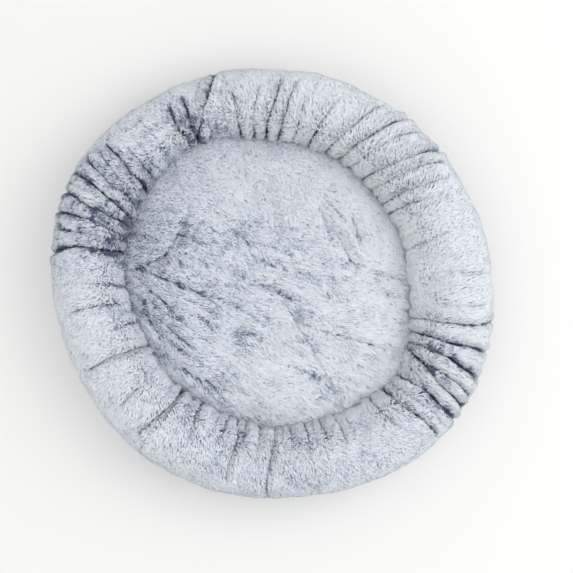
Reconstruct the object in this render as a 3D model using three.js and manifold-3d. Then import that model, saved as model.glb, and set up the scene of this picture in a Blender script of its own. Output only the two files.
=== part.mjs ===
// Round pet bed: a fur-covered bolster ring on a flat base cloth, with a loose cushion lying in its nest.
// Millimetres, +Z up. The origin is at the centre of the underside.

import * as THREE from 'three';
import { mergeVertices } from 'three/addons/utils/BufferGeometryUtils.js';
import Module from 'manifold-3d';

const wasm = await Module();
wasm.setup();

// ---- driving dimensions ----

const MEAN_RADIUS = 293.8;        // bolster's outer radius at its widest, averaged round the bed
const STRETCH = 10;               // how far the outline is pulled out along one diagonal and in across it
const STRETCH_ANGLE = 155;        // degrees, direction of the pull
const RING_HEIGHT = 112;
const RING_WIDTH = 97;            // bolster's width, seen from above
const CROWN_EXPONENT = 2.25;      // 2 is an ellipse, more is plumper
const BAND_TUCK = 25;             // how far the upright band at the foot stands in from the widest outline
const BAND_TOP = 30;
const BAND_BLEND = 10;            // height over which the round band gives way to the pulled outline
const PULL_FADE = 0.85;           // share of the cushion's radius inside which the pull fades away
const FOOT_TUCK = 25;             // the same, for the foot inside the nest
const COVER_THICKNESS = 8;        // backing and pile
const LINER_THICKNESS = 1.2;
const LINER_EASE = 0.6;           // between the cover and the inner bag
const BASE_THICKNESS = 1.2;
const GAP = 0.3;                  // between pieces that touch

const CUSHION_CLEARANCE = 0.5;    // between the cushion's edge and the narrowest part of the nest
const CUSHION_TOP = 72;
const CUSHION_SEAM = 34;          // height of the seam round its edge
const CUSHION_CROWN_EXPONENT = 3.2;
const CUSHION_BASE_EXPONENT = 5;
const UNDERSIDE_THICKNESS = 1.5;

const ZIP_HEIGHT = 16;            // centre line above the floor
const ZIP_CENTRE_ANGLE = 90;      // degrees, at the back of the bed
const WINDOW_SPAN = 90;           // degrees of band that are cut away for the zip
const WINDOW_HALF_HEIGHT = 9;
const TAPE_THICKNESS = 0.8;
const TAPE_REACH = 12;            // from the centre line to the tape's hidden edge
const COIL_THICKNESS = 2.2;
const COIL_HALF_HEIGHT = 3;
const COIL_SPLIT = 1.6;           // between the two coils
const STOP_LENGTH = 4;
const SLIDER_LENGTH = 12;
const SLIDER_HEIGHT = 9.5;
const SLIDER_PLATE = 1.5;
const SLIDER_PLAY = 0.5;          // between the slider's plates and what they run over
const SLIDER_POST = 1;            // width of the post that joins its plates, between the coils
const SLIDER_POST_SETBACK = 1;    // from the slider's end
const SLIDER_POST_LENGTH = 3;
const SLIDER_OVERLAP = 0.5;       // how far its post and bridge go into the plates that they join
const SLIDER_ANGLE = 50;          // degrees, closed
const BRIDGE_LENGTH = 7;
const BRIDGE_WIDTH = 2.2;
const BRIDGE_THICKNESS = 1.2;
const BRIDGE_ROOM = 2;            // height of the eye under the bridge
const PULL_LENGTH = 26;
const PULL_WIDTH = 6.4;
const PULL_THICKNESS = 1.4;
const PULL_EYE_LENGTH = 6;
const PULL_EYE_WIDTH = 3.4;
const LINER_SETBACK = 2;          // between the slider's back and the inner bag
const LINER_SLIT_SPAN = 70;       // degrees
const LINER_SLIT_HALF_HEIGHT = 6;

const GATHER_TAPE_THICKNESS = 1.4;
const LABEL_ANGLE = 146;
const LABEL_LENGTH = 18;
const LABEL_WIDTH = 25;
const LABEL_THICKNESS = 0.6;

const SEGMENTS = 48;              // steps round the bed
const ZIP_SEGMENTS = 144;         // the same, for the zip's narrow parts
const CROWN_STEPS = 8;
const FLANK_STEPS = 4;
const CUSHION_STEPS = 6;
const WEDGE_STEP = 15;            // degrees between the points of a cutting wedge's arc
const WEDGE_REACH = 1.5;          // how far the wedge goes out, as a share of the radius it must clear
const OVERCUT = 1;                // how far a cutter goes past what it cuts

// ---- places that follow from them ----

const INNER_WALL = MEAN_RADIUS - RING_WIDTH;
const RING_CENTRE = MEAN_RADIUS - RING_WIDTH / 2;
const MIDDLE = RING_HEIGHT / 2;
const BAND_RADIUS = MEAN_RADIUS - BAND_TUCK;
const FOOT_RADIUS = INNER_WALL + FOOT_TUCK;
const FLOOR_OF_COVER = BASE_THICKNESS + GAP;
const CUSHION_RADIUS = INNER_WALL - CUSHION_CLEARANCE;

const BAND_FLATS = (BAND_RADIUS - COVER_THICKNESS) * Math.cos(Math.PI / SEGMENTS);
const TAPE_OUTSIDE = BAND_FLATS - GAP;
const TAPE_INSIDE = TAPE_OUTSIDE - TAPE_THICKNESS;
const COIL_INSIDE = TAPE_OUTSIDE + GAP;
const COIL_OUTSIDE = COIL_INSIDE + COIL_THICKNESS;
const SLIDER_BACK = TAPE_INSIDE - SLIDER_PLAY - SLIDER_PLATE;
const SLIDER_FRONT = COIL_OUTSIDE + SLIDER_PLAY + SLIDER_PLATE;
const PULL_AXIS_RADIUS = SLIDER_FRONT + GAP + PULL_THICKNESS / 2;
const CHAIN_START = SLIDER_ANGLE - arcDegrees(SLIDER_LENGTH / 2 + GAP);
const CHAIN_END = ZIP_CENTRE_ANGLE + WINDOW_SPAN / 2 - arcDegrees(STOP_LENGTH * 2);
const LINER_BAND = SLIDER_BACK - LINER_SETBACK;
const LINER_FOOT = FOOT_RADIUS + 2 * GAP + GATHER_TAPE_THICKNESS;

function radians(degrees) {
  return degrees * Math.PI / 180;
}

// Angle that a length spans along the zip
function arcDegrees(length) {
  return length / COIL_OUTSIDE * 180 / Math.PI;
}

// ---- solids ----

function toSolid(geometry) {
  const bare = geometry.clone();
  bare.deleteAttribute('normal');
  bare.deleteAttribute('uv');
  const merged = mergeVertices(bare, 1e-3);
  const mesh = new wasm.Mesh({
    numProp: 3,
    vertProperties: new Float32Array(merged.attributes.position.array),
    triVerts: new Uint32Array(merged.index.array),
  });
  return new wasm.Manifold(mesh);
}

function toGeometry(solid) {
  const mesh = solid.getMesh();
  const geometry = new THREE.BufferGeometry();
  geometry.setAttribute('position', new THREE.BufferAttribute(new Float32Array(mesh.vertProperties), 3));
  geometry.setIndex(new THREE.BufferAttribute(new Uint32Array(mesh.triVerts), 1));
  geometry.computeVertexNormals();
  return geometry;
}

// Drops each point that repeats the one before it
function withoutRepeats(points) {
  return points.filter((point, i) => {
    const before = points[i - 1];
    return i === 0 || Math.hypot(point[0] - before[0], point[1] - before[1]) > 1e-6;
  });
}

// Points of a quarter superellipse from one degree to another, about a centre
function arc(centre, halfWidth, halfHeight, exponent, from, to, steps) {
  return Array.from({ length: steps + 1 }, (_, i) => {
    const a = radians(from + (to - from) * i / steps);
    const reach = value => Math.sign(value) * Math.abs(value) ** (2 / exponent);
    return [centre[0] + halfWidth * reach(Math.cos(a)), centre[1] + halfHeight * reach(Math.sin(a))];
  });
}

// Turns a closed outline of [radius, height] points about the Z axis, faces outwards
function turned(outline, segments = SEGMENTS) {
  const points = withoutRepeats(outline);
  const area = points.reduce((sum, p, i) => {
    const next = points[(i + 1) % points.length];
    return sum + p[0] * next[1] - next[0] * p[1];
  }, 0);
  const ordered = area > 0 ? points : points.reverse();
  const onAxis = ordered.findIndex((p, i) => {
    const before = ordered[(i + ordered.length - 1) % ordered.length];
    return p[0] === 0 && before[0] === 0;
  });
  const rolled = onAxis < 0 ? ordered : [...ordered.slice(onAxis), ...ordered.slice(0, onAxis)];
  const closed = onAxis < 0 ? [...rolled, rolled[0]] : rolled;
  const geometry = new THREE.LatheGeometry(closed.map(p => new THREE.Vector2(p[0], p[1])), segments);
  return geometry.rotateX(Math.PI / 2);
}

function smooth(from, to, value) {
  const t = THREE.MathUtils.clamp((value - from) / (to - from), 0, 1);
  return t * t * (3 - 2 * t);
}

// The outline is not a true circle: it is pulled along a diagonal, except low down on the outside, where
// the band with the zip stays round, and at the middle of the bed.
function shapeOutline(geometry) {
  const position = geometry.attributes.position;
  for (let i = 0; i < position.count; i++) {
    const [x, y, z] = [position.getX(i), position.getY(i), position.getZ(i)];
    const radius = Math.hypot(x, y);
    if (radius < 1) continue;
    const outside = smooth(RING_CENTRE - RING_WIDTH / 4, BAND_RADIUS - 2 * COVER_THICKNESS, radius);
    const low = 1 - smooth(BAND_TOP + BAND_BLEND, MIDDLE, z);
    const share = smooth(0, PULL_FADE * CUSHION_RADIUS, radius) * (1 - outside * low);
    const pull = STRETCH * Math.cos(2 * (Math.atan2(y, x) - radians(STRETCH_ANGLE)));
    const scale = 1 + pull * share / radius;
    position.setXY(i, x * scale, y * scale);
  }
  return geometry;
}

// A sector of a ring with a rectangular section, between two angles
function ringSector(inside, outside, low, high, fromAngle, toAngle) {
  const section = [[inside, low], [outside, low], [outside, high], [inside, high]];
  const ring = toSolid(turned(section, ZIP_SEGMENTS));
  const far = outside * WEDGE_REACH;
  const wedge = new THREE.Shape([new THREE.Vector2(0, 0)]);
  const steps = Math.ceil((toAngle - fromAngle) / WEDGE_STEP);
  for (let i = 0; i <= steps; i++) {
    const a = radians(fromAngle + (toAngle - fromAngle) * i / steps);
    wedge.lineTo(far * Math.cos(a), far * Math.sin(a));
  }
  const prism = new THREE.ExtrudeGeometry(wedge, { depth: high - low + 2 * OVERCUT, bevelEnabled: false });
  prism.translate(0, 0, low - OVERCUT);
  return ring.intersect(toSolid(prism));
}

// A block in the zip's own axes: along the zip, outwards from the bed, and up
function zipBlock(along, outwards, up) {
  const block = new THREE.BoxGeometry(outwards[1] - outwards[0], along[1] - along[0], up[1] - up[0]);
  block.translate((outwards[0] + outwards[1]) / 2, (along[0] + along[1]) / 2, (up[0] + up[1]) / 2);
  return toSolid(block);
}

// ---- the bolster ring ----

// Outline of the bolster from its outer foot over the crown to its inner foot, set in by a distance
function bolsterCurve(inset, bandRadius, footRadius, floor) {
  const crown = arc(
    [RING_CENTRE, MIDDLE], RING_WIDTH / 2 - inset, RING_HEIGHT - MIDDLE - inset,
    CROWN_EXPONENT, 0, 180, CROWN_STEPS);
  const outerFlank = arc(
    [BAND_RADIUS, MIDDLE], BAND_TUCK - inset, MIDDLE - BAND_TOP - inset, 2, -90, 0, FLANK_STEPS);
  const innerFlank = arc(
    [FOOT_RADIUS, MIDDLE], FOOT_TUCK - inset, MIDDLE - FLOOR_OF_COVER - inset, 2, 180, 270, FLANK_STEPS);
  return withoutRepeats([
    [bandRadius, floor],
    [bandRadius, BAND_TOP + inset],
    ...outerFlank,
    ...crown,
    ...innerFlank,
    [footRadius, FLOOR_OF_COVER + inset],
    [footRadius, floor],
  ]);
}

function ringCover() {
  const outside = bolsterCurve(0, BAND_RADIUS, FOOT_RADIUS, FLOOR_OF_COVER);
  const inside = bolsterCurve(
    COVER_THICKNESS, BAND_RADIUS - COVER_THICKNESS, FOOT_RADIUS, FLOOR_OF_COVER + COVER_THICKNESS);
  inside[0][1] = FLOOR_OF_COVER;
  const sleeve = toSolid(shapeOutline(turned([...outside, ...inside.reverse()])));
  const window = ringSector(
    BAND_RADIUS - 2 * COVER_THICKNESS, BAND_RADIUS + COVER_THICKNESS,
    ZIP_HEIGHT - WINDOW_HALF_HEIGHT, ZIP_HEIGHT + WINDOW_HALF_HEIGHT,
    ZIP_CENTRE_ANGLE - WINDOW_SPAN / 2, ZIP_CENTRE_ANGLE + WINDOW_SPAN / 2);
  return toGeometry(sleeve.subtract(window));
}

function ringLiner() {
  const outer = COVER_THICKNESS + LINER_EASE;
  const inner = outer + LINER_THICKNESS;
  const outside = bolsterCurve(outer, LINER_BAND, LINER_FOOT, FLOOR_OF_COVER);
  const inside = bolsterCurve(
    inner, LINER_BAND - LINER_THICKNESS, LINER_FOOT + LINER_THICKNESS, FLOOR_OF_COVER + LINER_THICKNESS);
  const bag = toSolid(shapeOutline(turned(outside))).subtract(toSolid(shapeOutline(turned(inside))));
  const slit = ringSector(
    LINER_BAND - LINER_THICKNESS - OVERCUT, LINER_BAND + OVERCUT,
    ZIP_HEIGHT - LINER_SLIT_HALF_HEIGHT, ZIP_HEIGHT + LINER_SLIT_HALF_HEIGHT,
    ZIP_CENTRE_ANGLE - LINER_SLIT_SPAN / 2, ZIP_CENTRE_ANGLE + LINER_SLIT_SPAN / 2);
  return toGeometry(bag.subtract(slit));
}

function ringFill() {
  const wall = LINER_THICKNESS + LINER_EASE;
  return shapeOutline(turned(bolsterCurve(
    COVER_THICKNESS + LINER_EASE + wall, LINER_BAND - wall, LINER_FOOT + wall, FLOOR_OF_COVER + wall)));
}

function gatherTape() {
  const inside = FOOT_RADIUS + GAP;
  const outside = inside + GATHER_TAPE_THICKNESS;
  const top = FLOOR_OF_COVER + COVER_THICKNESS;
  return shapeOutline(turned([
    [inside, FLOOR_OF_COVER], [outside, FLOOR_OF_COVER], [outside, top], [inside, top],
  ]));
}

function basePanel() {
  return shapeOutline(turned([
    [0, 0], [FOOT_RADIUS, 0], [BAND_RADIUS, 0],
    [BAND_RADIUS, BASE_THICKNESS], [FOOT_RADIUS, BASE_THICKNESS], [0, BASE_THICKNESS],
  ]));
}

function careLabel() {
  const label = new THREE.BoxGeometry(LABEL_LENGTH, LABEL_WIDTH, LABEL_THICKNESS);
  label.translate(BAND_RADIUS + GAP + LABEL_LENGTH / 2, 0, BASE_THICKNESS / 2);
  return label.rotateZ(radians(LABEL_ANGLE));
}

// ---- the zip ----

// side is 1 above the centre line and -1 below it
function zipStrip(inside, outside, nearest, furthest, side, fromAngle, toAngle) {
  const heights = [ZIP_HEIGHT + side * nearest, ZIP_HEIGHT + side * furthest].sort((a, b) => a - b);
  return ringSector(inside, outside, heights[0], heights[1], fromAngle, toAngle);
}

function zipTape(side) {
  const from = ZIP_CENTRE_ANGLE - WINDOW_SPAN / 2;
  return toGeometry(zipStrip(
    TAPE_INSIDE, TAPE_OUTSIDE, COIL_SPLIT / 2, TAPE_REACH, side, from, from + WINDOW_SPAN));
}

function zipCoil(side) {
  return toGeometry(zipStrip(
    COIL_INSIDE, COIL_OUTSIDE, COIL_SPLIT / 2, COIL_HALF_HEIGHT, side, CHAIN_START, CHAIN_END));
}

function zipTopStop(side) {
  const end = CHAIN_START - arcDegrees(GAP);
  return toGeometry(zipStrip(
    COIL_INSIDE, COIL_OUTSIDE, COIL_SPLIT / 2, COIL_HALF_HEIGHT, side,
    end - arcDegrees(STOP_LENGTH / 2), end));
}

function zipBottomStop() {
  const start = CHAIN_END + arcDegrees(GAP);
  return toGeometry(ringSector(
    COIL_INSIDE, COIL_OUTSIDE, ZIP_HEIGHT - COIL_HALF_HEIGHT, ZIP_HEIGHT + COIL_HALF_HEIGHT,
    start, start + arcDegrees(STOP_LENGTH)));
}

function zipSlider() {
  const along = [-SLIDER_LENGTH / 2, SLIDER_LENGTH / 2];
  const up = [-SLIDER_HEIGHT / 2, SLIDER_HEIGHT / 2];
  const bridgeTop = SLIDER_FRONT + BRIDGE_ROOM + BRIDGE_THICKNESS;
  const bridgeUp = [-BRIDGE_WIDTH / 2, BRIDGE_WIDTH / 2];
  const reach = BRIDGE_LENGTH / 2;
  const back = zipBlock(along, [SLIDER_BACK, SLIDER_BACK + SLIDER_PLATE], up);
  const front = zipBlock(along, [SLIDER_FRONT - SLIDER_PLATE, SLIDER_FRONT], up);
  const postStart = along[0] + SLIDER_POST_SETBACK;
  const post = zipBlock(
    [postStart, postStart + SLIDER_POST_LENGTH],
    [SLIDER_BACK + SLIDER_OVERLAP, SLIDER_FRONT - SLIDER_OVERLAP],
    [-SLIDER_POST / 2, SLIDER_POST / 2]);
  const bridge = zipBlock([-reach, reach], [SLIDER_FRONT - SLIDER_OVERLAP, bridgeTop], bridgeUp);
  const eye = zipBlock(
    [-reach + BRIDGE_THICKNESS, reach - BRIDGE_THICKNESS], [SLIDER_FRONT, SLIDER_FRONT + BRIDGE_ROOM],
    [-BRIDGE_WIDTH, BRIDGE_WIDTH]);
  return toGeometry(back.add(front).add(post).add(bridge.subtract(eye)));
}

// The pull's bar lies under the slider's bridge, and its eye goes round it
function zipPull() {
  const outwards = [PULL_AXIS_RADIUS - PULL_THICKNESS / 2, PULL_AXIS_RADIUS + PULL_THICKNESS / 2];
  const up = [-PULL_WIDTH / 2, PULL_WIDTH / 2];
  const bar = PULL_THICKNESS / 2;
  const tab = zipBlock([-bar, PULL_LENGTH], outwards, up);
  const eye = zipBlock(
    [bar, PULL_EYE_LENGTH], [outwards[0] - OVERCUT, outwards[1] + OVERCUT],
    [-PULL_EYE_WIDTH / 2, PULL_EYE_WIDTH / 2]);
  return toGeometry(tab.subtract(eye));
}

// ---- the cushion ----

// Upper half of the cushion's section, from its edge seam to its middle, set in by a distance
function cushionTopCurve(inset) {
  return arc(
    [0, CUSHION_SEAM], CUSHION_RADIUS - inset, CUSHION_TOP - CUSHION_SEAM - inset,
    CUSHION_CROWN_EXPONENT, 0, 90, CUSHION_STEPS);
}

// Lower half, from the middle to the edge seam
function cushionBaseCurve(inset) {
  return arc(
    [0, CUSHION_SEAM - GAP], CUSHION_RADIUS - inset, CUSHION_SEAM - GAP - FLOOR_OF_COVER - inset,
    CUSHION_BASE_EXPONENT, -90, 0, CUSHION_STEPS);
}

// Puts the ends of a curve exactly on the axis
function endingOnAxis(points) {
  return points.map(([radius, height]) => [radius < 1e-3 ? 0 : radius, height]);
}

function cushionTop() {
  const outside = endingOnAxis(cushionTopCurve(0));
  const inside = endingOnAxis(cushionTopCurve(COVER_THICKNESS)).reverse();
  return shapeOutline(turned([...outside, ...inside]));
}

function cushionUnderside() {
  const outside = endingOnAxis(cushionBaseCurve(0));
  const inside = endingOnAxis(cushionBaseCurve(UNDERSIDE_THICKNESS)).reverse();
  return shapeOutline(turned([...outside, ...inside]));
}

function cushionFill() {
  const low = endingOnAxis(cushionBaseCurve(UNDERSIDE_THICKNESS + GAP));
  const high = endingOnAxis(cushionTopCurve(COVER_THICKNESS + GAP));
  return shapeOutline(turned([...low, ...high]));
}

// ---- the assembly ----

const fur = new THREE.MeshStandardMaterial({ color: 0xc3c8d4, roughness: 0.95, metalness: 0 });
const greyCloth = new THREE.MeshStandardMaterial({ color: 0x8b8f99, roughness: 0.9, metalness: 0 });
const whiteCloth = new THREE.MeshStandardMaterial({ color: 0xe8e8e6, roughness: 0.9, metalness: 0 });
const fibre = new THREE.MeshStandardMaterial({ color: 0xf4f4f2, roughness: 1, metalness: 0 });
const zipPlastic = new THREE.MeshStandardMaterial({ color: 0x9297a1, roughness: 0.5, metalness: 0 });
const zipMetal = new THREE.MeshStandardMaterial({ color: 0x9a9da3, roughness: 0.35, metalness: 0.9 });

const bed = new THREE.Group();

function place(name, geometry, material, angle = 0, height = 0) {
  const mesh = new THREE.Mesh(geometry, material);
  mesh.name = name;
  mesh.rotation.z = radians(angle);
  mesh.position.z = height;
  bed.add(mesh);
}

place('ring_cover', ringCover(), fur);
place('ring_liner', ringLiner(), whiteCloth);
place('ring_fill', ringFill(), fibre);
place('gather_tape', gatherTape(), whiteCloth);
place('base_panel', basePanel(), greyCloth);
place('care_label', careLabel(), whiteCloth);
for (const [name, side] of [['upper', 1], ['lower', -1]]) {
  place(`zip_tape_${name}`, zipTape(side), greyCloth);
  place(`zip_coil_${name}`, zipCoil(side), zipPlastic);
  place(`zip_top_stop_${name}`, zipTopStop(side), zipPlastic);
}
place('zip_bottom_stop', zipBottomStop(), zipMetal);
place('zip_slider', zipSlider(), zipMetal, SLIDER_ANGLE, ZIP_HEIGHT);
place('zip_pull', zipPull(), zipMetal, SLIDER_ANGLE, ZIP_HEIGHT);
place('cushion_top', cushionTop(), fur);
place('cushion_underside', cushionUnderside(), greyCloth);
place('cushion_fill', cushionFill(), fibre);

export default bed;
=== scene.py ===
"""A round plush pet bed: a fur-covered bolster ring on a flat base cloth, and a loose cushion in its nest."""
import math

import bmesh
import bpy
import numpy as np
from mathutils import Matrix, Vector, noise


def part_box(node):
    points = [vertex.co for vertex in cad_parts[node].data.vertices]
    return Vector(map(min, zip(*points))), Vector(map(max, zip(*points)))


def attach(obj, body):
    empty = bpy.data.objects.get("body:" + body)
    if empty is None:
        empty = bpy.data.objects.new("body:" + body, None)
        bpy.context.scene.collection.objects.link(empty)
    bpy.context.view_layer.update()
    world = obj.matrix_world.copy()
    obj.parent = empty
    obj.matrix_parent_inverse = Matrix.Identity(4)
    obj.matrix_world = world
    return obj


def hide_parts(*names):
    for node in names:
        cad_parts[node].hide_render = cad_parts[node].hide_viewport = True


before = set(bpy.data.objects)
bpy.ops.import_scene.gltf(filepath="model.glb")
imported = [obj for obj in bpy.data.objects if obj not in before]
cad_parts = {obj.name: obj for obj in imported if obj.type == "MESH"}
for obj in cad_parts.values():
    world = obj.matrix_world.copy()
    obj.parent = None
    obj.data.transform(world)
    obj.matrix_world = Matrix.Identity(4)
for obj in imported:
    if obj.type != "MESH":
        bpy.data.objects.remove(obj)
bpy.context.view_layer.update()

MM = 0.001
TAU = 2 * math.pi


# ---- sizes, from the frame ----

def half_size(node):
    """Mean of a node's half extents along X and Y: the radius of a nearly round piece."""
    low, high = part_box(node)
    return (high[0] - low[0] + high[1] - low[1]) / 4


OUTER = half_size("ring_cover")
RING_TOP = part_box("ring_cover")[1][2]
BAND = half_size("base_panel")
BASE_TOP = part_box("base_panel")[1][2]
FOOT = half_size("gather_tape")
NEST = half_size("cushion_top")
CUSHION_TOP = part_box("cushion_top")[1][2]
CUSHION_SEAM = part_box("cushion_top")[0][2]

TAPE_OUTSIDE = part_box("zip_tape_upper")[1][1]
TAPE_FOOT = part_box("zip_tape_lower")[0][2]
TAPE_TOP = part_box("zip_tape_upper")[1][2]

MIDDLE = RING_TOP / 2
PILE = 9 * MM                # length of the fur
PILE_STAND = 6 * MM          # height it stands to, combed over
BAND_TOP = 30 * MM           # the plain upright band round the foot ends here
BACKING = BAND - PILE_STAND - TAPE_OUTSIDE - 0.1 * MM
HEM = 3 * MM                 # how far the cover lies over the zip's tapes
WINDOW_LOW, WINDOW_HIGH = TAPE_FOOT + HEM, TAPE_TOP - HEM
WINDOW_START, WINDOW_END = math.radians(45), math.radians(135)

# Outline waves: (waves round the bed, height in metres, angle of a crest in degrees)
OUTLINE_WAVES = ((2, 9 * MM, 150), (4, 3 * MM, 58), (5, 1 * MM, 20))
NEST_WAVES = ((1, 6 * MM, 150), (2, 12 * MM, 132), (4, 2.5 * MM, 52), (5, 2.5 * MM, 40), (7, 2 * MM, 16))


def waves(angle, terms):
    return sum(size * np.cos(n * (angle - math.radians(crest))) for n, size, crest in terms)


def smooth(low, high, value):
    t = np.clip((value - low) / (high - low), 0, 1)
    return t * t * (3 - 2 * t)


def mix(a, b, t):
    return a + (b - a) * t


def round_bed(radius, angle, height):
    """Points from their distance to the bed's axis, their angle round it and their height."""
    return np.stack([radius * np.cos(angle), radius * np.sin(angle), height], axis=-1)


# ---- meshes ----

def new_object(name, points, faces, material=None):
    mesh = bpy.data.meshes.new(name)
    mesh.from_pydata([tuple(p) for p in points], [], faces)
    mesh.update()
    piece = bpy.data.objects.new(name, mesh)
    bpy.context.collection.objects.link(piece)
    if material is not None:
        mesh.materials.append(material)
    for polygon in mesh.polygons:
        polygon.use_smooth = True
    return piece


def grid_faces(rows, columns, closed=True):
    """Quads of a grid of rows round the bed, row by row, the last column joined to the first."""
    faces = []
    for i in range(rows - 1):
        for j in range(columns if closed else columns - 1):
            k = (j + 1) % columns
            faces.append((i * columns + j, i * columns + k, (i + 1) * columns + k, (i + 1) * columns + j))
    return faces


def facing_out(faces):
    return [tuple(reversed(face)) for face in faces]


def grid_normals(points):
    """Unit normals of a rows by columns by 3 grid that closes on itself along its columns."""
    along = np.roll(points, -1, axis=1) - np.roll(points, 1, axis=1)
    across = np.gradient(points, axis=0)
    normal = np.cross(along, across)
    return normal / np.maximum(np.linalg.norm(normal, axis=2, keepdims=True), 1e-12)


def halved(points, axis, closed):
    """The grid with a point put in between each two along an axis, on a smooth curve through them."""
    points = np.moveaxis(points, axis, 0)
    if closed:
        before, after, second = (np.roll(points, k, axis=0) for k in (1, -1, -2))
        between = (9 * (points + after) - before - second) / 16
        rows = np.stack([points, between], axis=1).reshape(-1, *points.shape[1:])
    else:
        padded = np.concatenate([2 * points[:1] - points[1:2], points, 2 * points[-1:] - points[-2:-1]])
        between = (9 * (padded[1:-2] + padded[2:-1]) - padded[:-3] - padded[3:]) / 16
        pairs = np.stack([points[:-1], between], axis=1).reshape(-1, *points.shape[1:])
        rows = np.concatenate([pairs, points[-1:]])
    return np.moveaxis(rows, 0, axis)


def simulated(name, start, faces, rest, pinned, pressure, furthest):
    """Lets a grid of cloth settle under air pressure from inside, its rest shape giving its spare cloth."""
    piece = new_object(name, start.reshape(-1, 3), faces)
    piece.shape_key_add(name="Basis")
    key = piece.shape_key_add(name="rest")
    key.data.foreach_set("co", np.ascontiguousarray(rest, np.float32).ravel())
    held = np.flatnonzero(pinned.ravel()).tolist()
    piece.vertex_groups.new(name="pinned").add(held, 1.0, "REPLACE")
    cloth = piece.modifiers.new("cloth", "CLOTH")
    settings = cloth.settings
    settings.rest_shape_key = key
    settings.vertex_group_mass = "pinned"
    settings.quality = 5
    settings.mass = 0.25
    settings.tension_stiffness = 12
    settings.compression_stiffness = 12
    settings.shear_stiffness = 4
    settings.bending_stiffness = 0.35
    settings.air_damping = 4
    settings.use_pressure = True
    settings.uniform_pressure_force = pressure
    settings.effector_weights.gravity = 0
    cloth.point_cache.frame_end = SETTLING_FRAMES
    for number in range(1, SETTLING_FRAMES + 1):
        bpy.context.scene.frame_set(number)
    settled = np.empty(start.size, np.float32)
    evaluated = piece.evaluated_get(bpy.context.evaluated_depsgraph_get())
    evaluated.data.vertices.foreach_get("co", settled)
    bpy.data.objects.remove(piece)
    bpy.context.scene.frame_set(1)
    move = settled.reshape(start.shape) - start
    length = np.linalg.norm(move, axis=-1, keepdims=True)
    settled = start + move * np.minimum(1, furthest / np.maximum(length, 1e-9))
    settled[..., 2] = np.maximum(settled[..., 2], BASE_TOP)
    return settled


def hollowness(points, normals, step):
    """How deep each point of a closed-column grid lies below its neighbours a few steps to either side."""
    beside = (np.roll(points, step, axis=1) + np.roll(points, -step, axis=1)) / 2
    return np.sum((beside - points) * normals, axis=-1)


def noise_field(points, scale, seed, octaves=2):
    """Smooth noise from -1 to 1 at each point of a grid; scale is a bump's size in metres."""
    shape = points.shape[:-1]
    offset = Vector((seed * 7.3, seed * 3.1, seed * 5.7))
    flat = points.reshape(-1, 3) / scale
    return np.array([noise.fractal(Vector(p) + offset, 1.0, 2.0, octaves) for p in flat]).reshape(shape)


def ridge_lines(places, sharpness):
    """Thin ragged lines through a grid of places, from 0 between them to 1 along them."""
    values = [noise.noise(Vector(p)) for p in places.reshape(-1, 3)]
    return np.clip(1 - np.abs(np.array(values)).reshape(places.shape[:-1]) * sharpness, 0, 1)


def stretched_noise(points, direction, along, across, seed):
    """Noise drawn out along a direction field, for combed locks of fur."""
    shape = points.shape[:-1]
    side = np.stack([-direction[..., 1], direction[..., 0]], axis=-1)
    u = np.sum(points[..., :2] * direction[..., :2], axis=-1) / along
    v = np.sum(points[..., :2] * side, axis=-1) / across
    flat = np.stack([u, v, points[..., 2] / across], axis=-1).reshape(-1, 3)
    offset = Vector((seed * 2.9, seed * 8.3, seed * 4.1))
    return np.array([noise.noise(Vector(p) + offset) for p in flat]).reshape(shape)


# ---- node helpers ----

class Value:
    """A socket in a node tree. Python arithmetic on it adds Math nodes."""

    def __init__(self, tree, socket):
        self.tree = tree
        self.socket = socket

    def math(self, operation, *others, clamp=False):
        settings = {"operation": operation, "use_clamp": clamp}
        node = self.tree.node("ShaderNodeMath", settings, dict(enumerate((self, *others))))
        return Value(self.tree, node.outputs[0])

    def __add__(self, other):
        return self.math("ADD", other)

    __radd__ = __add__

    def __sub__(self, other):
        return self.math("SUBTRACT", other)

    def __rsub__(self, other):
        return Value.of(self.tree, other).math("SUBTRACT", self)

    def __mul__(self, other):
        return self.math("MULTIPLY", other)

    __rmul__ = __mul__

    def __truediv__(self, other):
        return self.math("DIVIDE", other)

    @staticmethod
    def of(tree, number):
        node = tree.node("ShaderNodeMath", {"operation": "ADD"}, {0: number, 1: 0.0})
        return Value(tree, node.outputs[0])


class Tree:
    """Adds nodes to a shader or geometry node tree."""

    def __init__(self, tree):
        self.tree = tree

    def node(self, kind, settings=None, inputs=None):
        node = self.tree.nodes.new(kind)
        for name, value in (settings or {}).items():
            if name == "ramp":
                self.fill_ramp(node.color_ramp, value)
            else:
                setattr(node, name, value)
        for name, value in (inputs or {}).items():
            self.give(node.inputs[name], value)
        return node

    def give(self, socket, value):
        if isinstance(value, Value):
            self.tree.links.new(value.socket, socket)
        elif isinstance(value, bpy.types.NodeSocket):
            self.tree.links.new(value, socket)
        else:
            socket.default_value = value

    @staticmethod
    def fill_ramp(ramp, stops):
        while len(ramp.elements) < len(stops):
            ramp.elements.new(0.5)
        for element, (position, colour) in zip(ramp.elements, stops):
            element.position = position
            element.color = (*colour, 1)

    def value(self, kind, settings=None, inputs=None, output=0):
        return Value(self, self.node(kind, settings, inputs).outputs[output])


def new_material(name):
    material = bpy.data.materials.new(name)
    material.use_nodes = True
    tree = Tree(material.node_tree)
    return material, tree, material.node_tree.nodes["Principled BSDF"]


# ---- materials ----

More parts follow.
